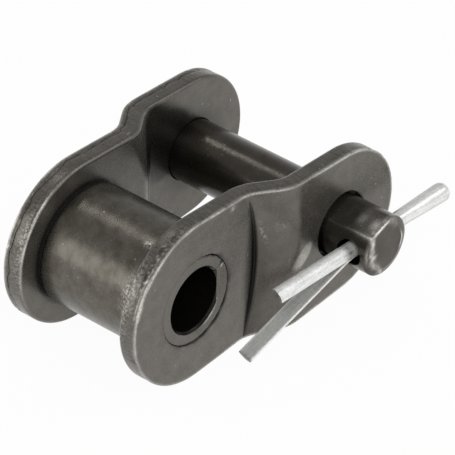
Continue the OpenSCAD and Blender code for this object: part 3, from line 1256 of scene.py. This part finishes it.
@dataclass
class ConnectingPin:
    """Connecting pin: a bar with a flat and a cross hole in front, peened behind."""

    axis_x: float = 12.7
    shank_r: float = 2.225
    radius: float = 2.13
    step_y: float = -6.4
    tip_y: float = -10.9
    bevel: float = 0.56
    bevel_rise: float = 0.22
    bevel_power: float = 1.7
    # The flat, crowned across and waved along
    flat_depth: float = 0.267
    flat_angle: float = 110.0
    flat_end_y: float = -6.1
    crown: float = 0.0365
    crown_r: float = 11.5
    crown_at: float = 0.114
    wave: float = 0.016
    wave_len: float = 2.44
    wave_y: float = -9.13
    # The cross hole, and the window of the grid round each of its mouths
    hole_r: float = 0.93
    hole_y: float = -9.4
    hole_front: float = 182.2
    hole_back: float = -7.6
    hole_lip: float = 0.05
    window: float = 33.0
    window_half: float = 1.08
    window_steps: int = 25
    # The peened head
    head_r: float = 2.475
    head_y: float = 7.16
    head_end_y: float = 8.05
    head_round: float = 0.45
    # Where the marks lie round the pin
    beaten: Arc = Arc(195.0, 0.75)
    milled_width: float = 0.5
    ridge: Arc = Arc(181.0, 0.9)
    streak: Arc = Arc(176.0, 0.28)
    chips: Arc = Arc(75.0, 0.35)
    right: Arc = Arc(-4.0, 0.35)
    root: Arc = Arc(190.0, 0.8)
    shade: Arc = Arc(185.0, 0.6)
    below: Arc = Arc(250.0, 0.6)
    dash_angle: float = 113.0
    # Where the painted highlights on the flat lie along the pin, and their spacing
    rub_y: float = -9.7
    rub_peak_y: float = -9.2
    rub_len: float = 1.15
    seed: int = 50

    def shape(self, a: np.ndarray, y: np.ndarray, r: float | np.ndarray) -> np.ndarray:
        """Places points of the bar: the radius is cut back to the flat.

        The flat is a plane, crowned by a shallow arc across it and waved along the bar.

        Args:
            a: Angle about the axis, in degrees.
            y: Place along the axis.
            r: Radius before the flat is cut.

        Returns:
            The points.
        """
        from_flat = np.radians(a - self.flat_angle)
        facing = np.cos(from_flat)
        plane = self.radius - self.flat_depth
        across = plane * np.sqrt(1.0 / np.maximum(facing, 0.5) ** 2 - 1.0) * np.sign(np.sin(from_flat))
        arc = self.crown - (across - self.crown_at) ** 2 / (2.0 * self.crown_r)
        wave = self.wave * np.cos(2.0 * np.pi * (y - self.wave_y) / self.wave_len)
        wave = wave + 0.004 * noise(y / 0.5 + 50.0, a / 12.0 + 50.0, self.seed + 11)
        cut = (plane + arc + wave) / np.maximum(facing, 0.2)
        r = np.where(y < self.flat_end_y, np.minimum(r, cut), r)
        return turned(r, y, np.radians(a)) + np.array([self.axis_x, 0.0, 0.0])

    def mouth(self, t: np.ndarray, grow: float) -> Pair:
        """Curve where the cross hole meets the bar, as an angle from its axis and a Y.

        A point at angle d from the hole's axis lies radius * sin(d) beside it, so the
        curve is a circle in that sine and Y.

        Args:
            t: Angle round the hole.
            grow: How much wider than the hole it is.

        Returns:
            The angle from the hole's axis, in degrees, and Y.
        """
        r = self.hole_r + grow
        return np.degrees(np.arcsin(r * np.cos(t) / self.radius)), self.hole_y + r * np.sin(t)

    def mouth_patch(self, middle: float, columns: np.ndarray, rows: np.ndarray) -> tuple[Surface, np.ndarray]:
        """Window of the bar round one end of the cross hole, on straight rays from it.

        Args:
            middle: Angle of the hole's axis on this side, in degrees.
            columns: Angles of the window's columns from the middle, in degrees.
            rows: Y of the window's rows.

        Returns:
            The surface, and the angle round the hole of each ray.
        """
        across, along = np.ones(columns.size - 1), np.ones(rows.size - 1)
        rim_a = np.concatenate([columns[:-1], columns[-1] * along, columns[:0:-1], columns[0] * along])
        rim_y = np.concatenate([rows[0] * across, rows[:-1], rows[-1] * across, rows[:0:-1]])
        t = np.arctan2(rim_y - self.hole_y, self.radius * np.sin(np.radians(rim_a)))
        hole_a, hole_y = self.mouth(t, self.hole_lip)
        share = np.linspace(0.0, 1.0, 9)[:, None]
        a = hole_a + (rim_a - hole_a) * share
        y = hole_y + (rim_y - hole_y) * share
        sign = 1.0 if abs(middle) > 90.0 else -1.0
        return Surface.grid(self.shape(middle + sign * a, y, self.radius), closed=True), t

    def bore(self, t: np.ndarray) -> Surface:
        """Cross hole: straight lines from one mouth to the other, with a rounded lip.

        Args:
            t: Angles round the hole.

        Returns:
            The surface.
        """
        edge_a, edge_y = self.mouth(t, self.hole_lip)
        wall_a, wall_y = self.mouth(t, 0.0)
        depth = self.radius - 1.5 * self.hole_lip
        rows = [self.shape(self.hole_front + edge_a, edge_y, self.radius),
                self.shape(self.hole_front + wall_a, wall_y, depth),
                self.shape(self.hole_back - wall_a, wall_y, depth),
                self.shape(self.hole_back - edge_a, edge_y, self.radius)]
        return Surface.grid(np.stack(rows), closed=True)

    def bevel_at(self, a: np.ndarray) -> tuple[np.ndarray, np.ndarray, np.ndarray]:
        """Finds the end's bevel: beaten wide and ragged on one side, milled away at the flat.

        Args:
            a: Angle about the axis, in degrees.

        Returns:
            Its width across the end, its height along the pin, and how beaten it is.
        """
        beaten = self.beaten.at(np.radians(a))
        left = 1.0 - 0.85 * Arc(self.flat_angle, self.milled_width).at(np.radians(a))
        ragged = noise(a / 12.0 + 50.0, 0.0 * a, self.seed + 3) * (0.15 + beaten)
        wide = self.bevel * left * (1.0 + 0.5 * beaten + 0.25 * ragged)
        high = self.bevel_rise * left * (1.0 + 0.3 * beaten + 0.25 * ragged)
        return wide, high, beaten

    def tip(self, a: np.ndarray, end_y: float) -> Surface:
        """Front end: the end face, the curved bevel and the bar as far as end_y.

        Args:
            a: Angles of the columns, in degrees.
            end_y: Y where it ends.

        Returns:
            The surface.
        """
        wide, high, _ = self.bevel_at(a)
        rise = np.linspace(0.0, 1.0, 17)[:, None]
        face_r = steps((0.0, 0.78, 8), (0.78, 1.0, 8))[:-1, None] * (self.radius - wide)
        bevel_r = self.radius - wide * (1.0 - rise) ** self.bevel_power
        land_y = self.tip_y + high + (end_y - self.tip_y - high) * np.linspace(0.1, 1.0, 6)[:, None]
        r = np.concatenate([face_r, bevel_r, np.full_like(land_y, self.radius)])
        y = np.concatenate([np.full_like(face_r, self.tip_y), self.tip_y + high * rise, land_y])
        return Surface.grid(self.shape(a, y, r), closed=True)

    def tail(self, a: np.ndarray, start_y: float) -> Surface:
        """Rest of the bar from start_y: a step, the shank and the peened head.

        Args:
            a: Angles of the columns, in degrees.
            start_y: Y where it starts.

        Returns:
            The surface.
        """
        side, top = quarter(7)
        end_r = np.linspace(self.head_r - self.head_round, 0.0, 12)[1:]
        dome_y = self.head_end_y - 0.12 * ease(1.2, 0.0, end_r)
        y = np.concatenate([np.linspace(start_y, self.step_y, 12),
                            np.linspace(self.step_y, self.flat_end_y - 0.004, 4),
                            np.linspace(self.flat_end_y + 0.004, self.head_y, 40),
                            [self.head_y, self.head_y + 0.2],
                            self.head_end_y - self.head_round * top, dome_y])
        r = np.concatenate([np.full(12, self.radius), np.full(44, self.shank_r), np.full(2, self.head_r),
                            self.head_r - self.head_round * side, end_r])
        return Surface.grid(self.shape(a, y[:, None], r[:, None]), closed=True)

    def build(self) -> bpy.types.Object:
        """Joins the front end, the windows round the cross hole, the bars between them and the rest.

        Returns:
            The pin.
        """
        w = self.window
        half = math.degrees(math.acos(1.0 - self.flat_depth / self.radius))
        low, far = self.flat_angle - half, self.flat_angle + half
        back, front = self.hole_back, self.hole_front
        window = np.linspace(-w, w, self.window_steps)
        sides = steps((back + w, low - 1.0, 26), (low - 1.0, low + 1.0, 6), (low + 1.0, far - 1.0, 30),
                      (far - 1.0, far + 1.0, 6), (far + 1.0, front - w, 5))
        under = np.linspace(front + w, back + 360.0 - w, 60)
        a = np.concatenate([back + window[:-1], sides[:-1], front + window[:-1], under[:-1]])[None, :]
        rows = self.hole_y + np.linspace(-self.window_half, self.window_half, self.window_steps)
        bands = [Surface.grid(self.shape(run[None, :], rows[:, None], self.radius)) for run in (sides, under)]
        front_patch, t = self.mouth_patch(front, window, rows)
        back_patch, _ = self.mouth_patch(back, window, rows)
        whole = Surface.joined([self.tip(a, rows[0]), self.tail(a, rows[-1]), *bands, front_patch, back_patch,
                                self.bore(t)])
        p = self.places(whole.points)
        return whole.to_object("drawn_connecting_pin", {
            Mark.WORN: self.worn(p), Mark.SOIL: self.soil(p), Mark.FROST: self.frost(p)})

    def places(self, points: np.ndarray) -> PinPlaces:
        """Works out where points lie on the pin.

        Args:
            points: The pin's points.

        Returns:
            Their places.
        """
        x, y, z = points[:, 0] - self.axis_x, points[:, 1], points[:, 2]
        out, turn = np.hypot(x, z), np.arctan2(z, x)
        flat = math.radians(self.flat_angle)
        up = x * math.cos(flat) + z * math.sin(flat)
        over = z * math.cos(flat) - x * math.sin(flat)
        on_flat = bell(up, self.flat_up(), 0.07) * (y < self.flat_end_y)
        wide, _, beaten = self.bevel_at(np.degrees(turn))
        patchy = ease(-0.5, 0.5, noise(x / 0.3 + 30.0, z / 0.3 + 30.0, self.seed + 1))
        return PinPlaces(y, np.degrees(turn), turn, out, up, over, on_flat, y < self.tip_y + 0.4,
                         (self.radius - out) / wide, beaten, patchy)

    def flat_up(self) -> float:
        """Height of the flat over the axis, at half its crown."""
        return self.radius - self.flat_depth + 0.5 * self.crown

    def worn(self, p: PinPlaces) -> np.ndarray:
        """Finds where the pin is rubbed bright, and where highlights are painted on it.

        Args:
            p: Places of its points.

        Returns:
            The bright share.
        """
        # The edges of the flat, and painted highlights that follow one another along it on the crests of its
        # wave
        reach = math.sqrt(self.radius ** 2 - (self.radius - self.flat_depth) ** 2)
        flat_edge = bell(p.over, reach, 0.1) * p.on_flat * bell(p.y, self.tip_y, 1.3)
        tip_edge = 1.3 * bell(p.y, self.tip_y, 0.07) * bell(p.up, self.flat_up(), 0.1)
        swell = 0.5 + 0.5 * np.cos(2.0 * np.pi * (p.y - self.rub_peak_y) / self.rub_len)
        painted_highlight = 0.5 * bell(p.over, 0.0, 0.4) * bell(p.y, self.rub_y, 1.0) * swell ** 1.5 * p.on_flat
        # The beaten bevel: its corner with the flat, its ridge, partly a painted highlight, a streak, chips
        # and a painted highlight along a strip at the right
        corner = bell(p.over, reach, 0.16) * bell(p.y, self.tip_y, 0.2) * bell(p.share, 0.4, 0.5)
        ridge = 0.85 * self.ridge.at(p.turn) * bell(p.share, 0.8, 0.3) * (0.7 + 0.3 * p.patchy) + 0.8 * corner
        streak = 0.4 * self.streak.at(p.turn) * bell(p.share, 0.25, 0.12)
        chips = 0.8 * self.chips.at(p.turn) * bell(p.share, 0.5, 0.6) * (0.35 + 0.65 * p.patchy)
        strip = 1.5 * self.right.at(p.turn) * bell(p.share, 1.06, 0.12)
        on_end = (ridge + streak + chips + strip) * p.at_end
        return np.clip(flat_edge + tip_edge + 0.05 * p.on_flat + painted_highlight + on_end, 0.0, 1.0)

    def soil(self, p: PinPlaces) -> np.ndarray:
        """Finds where shade is painted on the pin, and where it is dirty.

        Args:
            p: Places of its points.

        Returns:
            The dark share: painted shade and dirt.
        """
        # Painted shade in the cross hole and in the folds of the beaten bevel, and a dark line inside the
        # strip at the right
        inside = (p.out < self.radius - self.hole_lip) & (np.abs(p.y - self.hole_y) < self.hole_r + 0.01)
        inside &= p.up < self.radius - self.flat_depth - 0.05
        fold = 0.7 * p.beaten * bell(p.share, 0.42, 0.1) * p.patchy
        seam = self.right.at(p.turn) * bell(p.share, 1.27, 0.09)
        # Painted shade at the root, on the underside in front and along the lower side of the shank, and
        # painted shade with dark scale before the rear plate
        root = np.maximum(bell(p.y, self.flat_end_y - 0.7, 1.7) * self.root.at(p.turn),
                          0.4 * bell(p.y, self.flat_end_y - 0.4, 1.6) * p.on_flat)
        below = 0.6 * self.below.at(p.turn) * (p.y < self.flat_end_y) * (p.y > self.tip_y + 0.6)
        shade = 0.5 * self.shade.at(p.turn) * ease(0.5, 3.5, p.y)
        wavy_y = p.y + 0.4 * noise(p.a / 15.0 + 40.0, p.y / 0.5 + 40.0, self.seed + 17)
        grease = 0.6 * ease(4.2, 5.7, wavy_y) * (p.y < 6.0)
        painted_shade_share = 0.92 * root + below + np.maximum(shade, grease)
        return np.clip(0.9 * inside + painted_shade_share + (fold + seam) * p.at_end, 0.0, 1.0)

    def frost(self, p: PinPlaces) -> np.ndarray:
        """Finds the fine scratches: a row of bright dashes along the top of the shank, partly a painted
        highlight along the strip lamp's highlight.

        Args:
            p: Places of its points.

        Returns:
            The scratched share.
        """
        dashes = ease(-0.3, 0.5, noise(p.y / 0.35 + 70.0, p.a / 9.0 + 70.0, self.seed + 21))
        between = ease(-2.0, -1.0, p.y) * (1.0 - ease(3.6, 4.6, p.y))
        return 0.18 * bell(p.a, self.dash_angle, 5.0) * dashes * between


@dataclass
class SplitPin:
    """Split pin: one half-round wire, folded to an eye and two legs."""

    axis_x: float = 12.7
    axis_y: float = -9.3
    axis_z: float = -0.13
    slope: float = 2.73
    short_turn: float = 39.0
    eye_turn: float = 45.0
    long_turn: float = 17.0
    wire_r: float = 0.545
    eye_flare: float = 0.2
    slit: float = 0.04
    edge_r: float = 0.05
    pin_r: float = 2.13
    neck_half: float = 0.3
    eye_reach: float = 8.4
    eye_r: float = 0.175
    short_leg: float = 9.26
    long_leg: float = 9.02
    bend_start: float = 1.81
    bend_drop: float = 0.1
    spread: float = 32.5
    bend_r: float = 1.4
    cut_slant: float = 0.45
    flat_points: int = 15
    cap_sizes: tuple[float, ...] = (0.0, 0.35, 0.7, 0.93)
    seed: int = 91

    def section(self) -> np.ndarray:
        """Half disc on its flat face: across the wire, and away from the flat face.

        Returns:
            Points round the section, the flat face first, with rounded corners.
        """
        r, e = self.wire_r, self.edge_r
        flat = np.linspace([-(r - 2 * e), 0.0], [r - 2 * e, 0.0], self.flat_points)
        corner = np.radians(np.linspace(-90.0, 0.0, 5)[1:])
        right = np.stack([r - 2 * e + e * np.cos(corner) + 0.6 * e, e + e * np.sin(corner)], -1)
        t = np.radians(np.linspace(9.0, 171.0, 31))
        arc = np.stack([r * np.cos(t), r * np.sin(t) - self.slit / 2], -1)
        left = right[::-1] * np.array([-1.0, 1.0])
        return np.concatenate([flat, right, arc, left])

    def path(self) -> np.ndarray:
        """Line of the flat face in the fold's plane: short leg, eye, long leg.

        Returns:
            Rows of place along the legs, place across them, heading, and turn about the axis.
        """
        neck = self.pin_r + self.wire_r
        leg_end, arm_end = -neck + self.neck_half, -neck - self.neck_half
        eye_x = self.eye_reach - self.eye_r - self.wire_r
        half = self.slit / 2
        arm = math.degrees(math.asin((self.eye_r - half) / (eye_x - neck)))
        arm_z = half + self.neck_half * math.sin(math.radians(arm))
        twist = self.eye_turn
        leg_1 = np.linspace([self.short_leg, half, 180.0, self.short_turn], [leg_end, half, 180.0, twist], 50)
        heading = 180.0 - arm + (180.0 + 2 * arm) * np.linspace(0.0, 1.0, 33)
        h = np.radians(heading)
        eye = np.stack([-eye_x + self.eye_r * np.sin(h), -self.eye_r * np.cos(h),
                        heading, np.full_like(h, twist)], -1)
        arm_1 = np.linspace([arm_end, arm_z, 180.0 - arm, twist], eye[0], 21)[:-1]
        arm_2 = np.linspace(eye[-1], [arm_end, -arm_z, 360.0 + arm, twist], 21)[1:]
        h = np.radians(self.spread * np.linspace(0.0, 1.0, 17))
        bend = np.stack([self.bend_start + self.bend_r * np.sin(h),
                         -self.bend_drop - self.bend_r * (1.0 - np.cos(h)),
                         360.0 - np.degrees(h), np.full_like(h, self.long_turn)], -1)
        leg_2 = np.linspace([leg_end, -half, 360.0, twist], bend[0], 24)[:-1]
        away = self.long_leg * np.array([math.cos(h[-1]), -math.sin(h[-1]), 0.0, 0.0])
        leg_3 = np.linspace(bend[-1], bend[-1] + away, 46)[1:]
        return np.concatenate([leg_1, arm_1, eye, arm_2, leg_2, bend, leg_3])

    def place(self, local: np.ndarray, turn: np.ndarray) -> np.ndarray:
        """Turns each section about the fold's axis, then slopes the fold and turns it round.

        Args:
            local: Points with X along the legs and Z from the long leg to the short one.
            turn: Turn of each section, in degrees.

        Returns:
            The points in the link's frame.
        """
        x, y, z = np.moveaxis(local, -1, 0)
        twist = np.radians(turn)
        twisted = np.stack([x, y * np.cos(twist) + z * np.sin(twist),
                            z * np.cos(twist) - y * np.sin(twist)], -1)
        spin = Matrix.Rotation(math.pi, 3, "Z") @ Matrix.Rotation(math.radians(-self.slope), 3, "Y")
        return twisted @ np.array(spin).T + np.array([self.axis_x, self.axis_y, self.axis_z])

    def marks(self, section: np.ndarray, path: np.ndarray, shrink: np.ndarray) -> dict[Mark, np.ndarray]:
        """Finds the wire's own places, its rubbed corners, its stains, its painted shade and its scuffed
        legs.

        Args:
            section: Points round the section.
            path: Rows of the path, with those of the caps.
            shrink: Size of the section at each row, as a column.

        Returns:
            The point attributes.
        """
        x, length, girth = path[:, 0:1], run_length(path[:, :2])[:, None], run_length(section)
        across, away = np.abs(section[:, 0]), section[:, 1]
        corner = bell(across, self.wire_r - 0.04, 0.09) * bell(away, 0.03, 0.1)
        # A stain where the short leg leaves the pin, painted shade at the fold of the eye, and stains on the
        # cut ends
        stain = 0.7 * bell(length, self.short_leg - self.pin_r - 0.25, 0.35)
        stain = stain + 0.3 * bell(x, -self.eye_reach, 0.8)
        cut_edge = 0.8 * ease(length[-1] - 0.12, length[-1] - 0.04, length)
        stain = np.maximum(np.maximum(stain, cut_edge), 0.9 * (shrink < 0.95))
        # Painted shade along the sides of the eye, and spots on the short leg
        side = bell(across, self.wire_r, 0.12) * (1.0 - ease(-self.pin_r - 1.2, -self.pin_r, x))
        blotch = noise(length / 0.3 + 20.0, girth / 0.2 + 20.0, self.seed)
        spots = 0.07 * ease(0.1, 0.7, blotch) * ease(self.short_leg, self.short_leg - 2.5, length)
        stain = np.clip(stain * (0.9 + 0.3 * blotch) + 0.28 * side + spots, 0.0, 1.0)
        return {Mark.FROST: ease(-self.pin_r, self.pin_r, x), Mark.SOIL: stain, Mark.ALONG: length,
                Mark.AROUND: girth, Mark.FLAT: np.arange(len(section)) < self.flat_points, Mark.WORN: corner}

    def build(self) -> bpy.types.Object:
        """Carries the section along the path, square to its heading, and closes the ends.

        Returns:
            The split pin.
        """
        section, path = self.section(), self.path()
        caps = np.array(self.cap_sizes)
        shrink = np.concatenate([caps, np.ones(len(path)), caps[::-1]])[:, None]
        path = np.concatenate([np.repeat(path[:1], caps.size, 0), path, np.repeat(path[-1:], caps.size, 0)])
        x, z, heading, turn = np.split(path, 4, axis=1)
        heading = np.radians(heading)
        middle = 0.4 * self.wire_r
        across = section[:, 0] * shrink * (1.0 + self.eye_flare * ease(-self.pin_r, -self.eye_reach, x))
        away = middle + (section[:, 1] - middle) * shrink
        slanted = self.cut_slant * away * bell(run_length(path[:, :2]), 0.0, 0.3)[:, None]
        local = np.stack([x + away * np.sin(heading) + slanted, across, z - away * np.cos(heading)], -1)
        whole = Surface.grid(self.place(local, turn), closed=True)
        return whole.to_object("zinc_split_pin", self.marks(section, path, shrink))


def view_matrix(right: np.ndarray, up: np.ndarray, back: np.ndarray, eye: np.ndarray) -> Matrix:
    """Builds a camera or lamp matrix from its axes and its place in millimetres.

    Args:
        right: Its X axis.
        up: Its Y axis.
        back: Its Z axis, away from what it looks at.
        eye: Its place.

    Returns:
        The matrix, in metres.
    """
    whole = np.eye(4)
    whole[:3, :4] = np.stack([right, up, back, eye * MM], -1)
    return Matrix(whole.tolist())


@dataclass(frozen=True)
class Softbox:
    """One studio lamp, aimed at the link.

    Attributes:
        name: Name of the lamp.
        turn: Direction to it from +X towards +Y, in degrees.
        height: Angle above the floor, in degrees.
        size: Width and height in millimetres.
        radiance: Brightness of its face, where 1 is white.
        distance: Distance in millimetres.
    """

    name: str
    turn: float
    height: float
    size: tuple[float, float]
    radiance: float
    distance: float = 320.0

    def build(self, target: np.ndarray) -> None:
        """Adds the lamp, with its power worked out from its brightness and area.

        Args:
            target: The point that it is aimed at.
        """
        lamp = bpy.data.lights.new(self.name, "AREA")
        lamp.shape = "RECTANGLE"
        lamp.size, lamp.size_y = self.size[0] * MM, self.size[1] * MM
        lamp.energy = self.radiance * math.pi * lamp.size * lamp.size_y
        a, e = math.radians(self.turn), math.radians(self.height)
        back = np.array([math.cos(a) * math.cos(e), math.sin(a) * math.cos(e), math.sin(e)])
        right = np.array([-math.sin(a), math.cos(a), 0.0])
        made = bpy.data.objects.new(self.name, lamp)
        made.matrix_world = view_matrix(right, np.cross(back, right), back, target + back * self.distance)
        bpy.context.scene.collection.objects.link(made)


@dataclass
class Studio:
    """Pale floor, soft light and the camera at the photograph's angle."""

    azimuth: float = -50.92
    elevation: float = 35.54
    roll: float = 1.81
    distance: float = 250.0
    lens: float = 304.36
    sensor: float = 36.0
    clip_m: tuple[float, float] = (0.01, 10.0)
    aim: tuple[float, float, float] = (6.35, 0.0, 0.0)
    offset: tuple[float, float] = (2.135, -0.2605)
    floor_z: float = -5.92
    floor_half: float = 600.0
    paper: str = "#fafafa"
    white_share: float = 0.96
    # Sine of the height in the tent, and how bright it is there
    tent: tuple[tuple[float, float], ...] = ((0.0, 0.85), (0.55, 0.4), (0.9, 0.45))
    # One low at the back left, a strip overhead and two in front
    boxes: tuple[Softbox, ...] = (
        Softbox("back_left_box", 146.0, 16.0, (190.0, 165.0), 1.6),
        Softbox("overhead_strip", 75.0, 57.0, (70.0, 18.0), 6.2),
        Softbox("front_right_box", -39.0, 36.0, (170.0, 130.0), 1.5),
        Softbox("front_left_box", -128.0, 46.0, (200.0, 150.0), 3.0),
    )

    def camera(self) -> None:
        """Adds the camera, rolled about its own axis and moved off the link's middle."""
        a, e, roll = (math.radians(v) for v in (self.azimuth, self.elevation, self.roll))
        level = np.array([math.cos(a), math.sin(a), 0.0])
        back = np.array([math.sin(a) * math.cos(e), -math.cos(a) * math.cos(e), math.sin(e)])
        upright = np.cross(back, level)
        right = math.cos(roll) * level + math.sin(roll) * upright
        up = math.cos(roll) * upright - math.sin(roll) * level
        target = np.array(self.aim) + self.offset[0] * right + self.offset[1] * up
        data = bpy.data.cameras.new("camera")
        data.lens, data.sensor_width = self.lens, self.sensor
        data.clip_start, data.clip_end = self.clip_m
        made = bpy.data.objects.new("camera", data)
        made.matrix_world = view_matrix(right, up, back, target + back * self.distance)
        bpy.context.scene.collection.objects.link(made)
        bpy.context.scene.camera = made

    def floor(self) -> None:
        """Adds the floor: white to the eye and in reflections, with a faint shadow."""
        side = np.array([-1.0, 1.0]) * self.floor_half
        x, y = np.meshgrid(side, side, indexing="ij")
        sheet = Surface.grid(np.stack([x, y, np.full_like(x, self.floor_z)], -1))
        made = sheet.to_object("floor", {})
        material = bpy.data.materials.new("white_paper_sweep")
        tree = empty_tree(material)
        path = add_node(tree, "ShaderNodeLightPath")
        seen = add_node(tree, "ShaderNodeMath", {"operation": "ADD"}, {
            0: path.outputs["Is Camera Ray"], 1: path.outputs["Is Glossy Ray"]})
        any_seen = add_node(tree, "ShaderNodeMath", {"operation": "ADD", "use_clamp": True}, {
            0: seen.outputs["Value"], 1: path.outputs["Is Transmission Ray"]})
        share = add_node(tree, "ShaderNodeMath", {"operation": "MULTIPLY"}, {
            0: any_seen.outputs["Value"], 1: self.white_share})
        paper = add_node(tree, "ShaderNodeBsdfDiffuse", None, {"Color": linear(self.paper)})
        white = add_node(tree, "ShaderNodeEmission", None, {"Color": WHITE, "Strength": 1.0})
        mix = add_node(tree, "ShaderNodeMixShader", None, {
            0: share.outputs["Value"], 1: paper.outputs["BSDF"], 2: white.outputs["Emission"]})
        add_node(tree, "ShaderNodeOutputMaterial", None, {"Surface": mix.outputs["Shader"]})
        made.data.materials.append(material)

    def sky(self) -> None:
        """Adds the light tent: pale walls and a darker roof."""
        world = bpy.data.worlds.new("light_tent")
        bpy.context.scene.world = world
        tree = empty_tree(world)
        way = add_node(tree, "ShaderNodeTexCoord").outputs["Generated"]
        rise = add_node(tree, "ShaderNodeSeparateXYZ", None, {0: way}).outputs["Z"]
        ramp = add_node(tree, "ShaderNodeValToRGB", None, {0: rise})
        stops = ramp.color_ramp.elements
        for height, _ in self.tent[len(stops):]:
            stops.new(height)
        for stop, (height, grey) in zip(stops, self.tent):
            stop.position, stop.color = height, (grey, grey, grey, 1.0)
        light = add_node(tree, "ShaderNodeBackground", None, {
            "Color": ramp.outputs["Color"], "Strength": 1.0})
        add_node(tree, "ShaderNodeOutputWorld", None, {"Surface": light.outputs["Background"]})

    def build(self) -> None:
        """Sets up the camera, floor, light and plain view settings."""
        self.camera()
        self.floor()
        self.sky()
        for box in self.boxes:
            box.build(np.array(self.aim))
        bpy.context.scene.view_settings.view_transform = "Standard"


def main() -> None:
    """Builds the studio and the six pieces, and reports each."""
    logging.basicConfig(level=logging.INFO, format="%(name)s: %(message)s")
    log.info("frame has %d CAD nodes", len(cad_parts))
    Studio().build()
    plate_steel = PLATE_FINISH.material()
    plates = (
        CrankedPlate(Side.FRONT, "front_plate", pin_hole_r=2.275, seed=11, pin_hole_round=0.2,
                     tear=0.0, lip=0.6, scuff=0.5, grease=0.35),
        CrankedPlate(Side.REAR, "rear_plate", pin_hole_r=2.235, seed=71, tear=0.6, oil=0.8),
    )
    for plate in plates:
        place_piece(plate.build(), plate.node, Body.LINK, plate_steel)
    place_piece(Bush().build(), "bush", Body.LINK, BUSH_FINISH.material())
    place_piece(Roller().build(), "roller", Body.ROLLER, ROLLER_FINISH.material())
    place_piece(ConnectingPin().build(), "connecting_pin", Body.LINK, PIN_FINISH.material())
    place_piece(SplitPin().build(), "cotter_pin", Body.LINK, WIRE_FINISH.material())


if __name__ == "__main__":
    main()
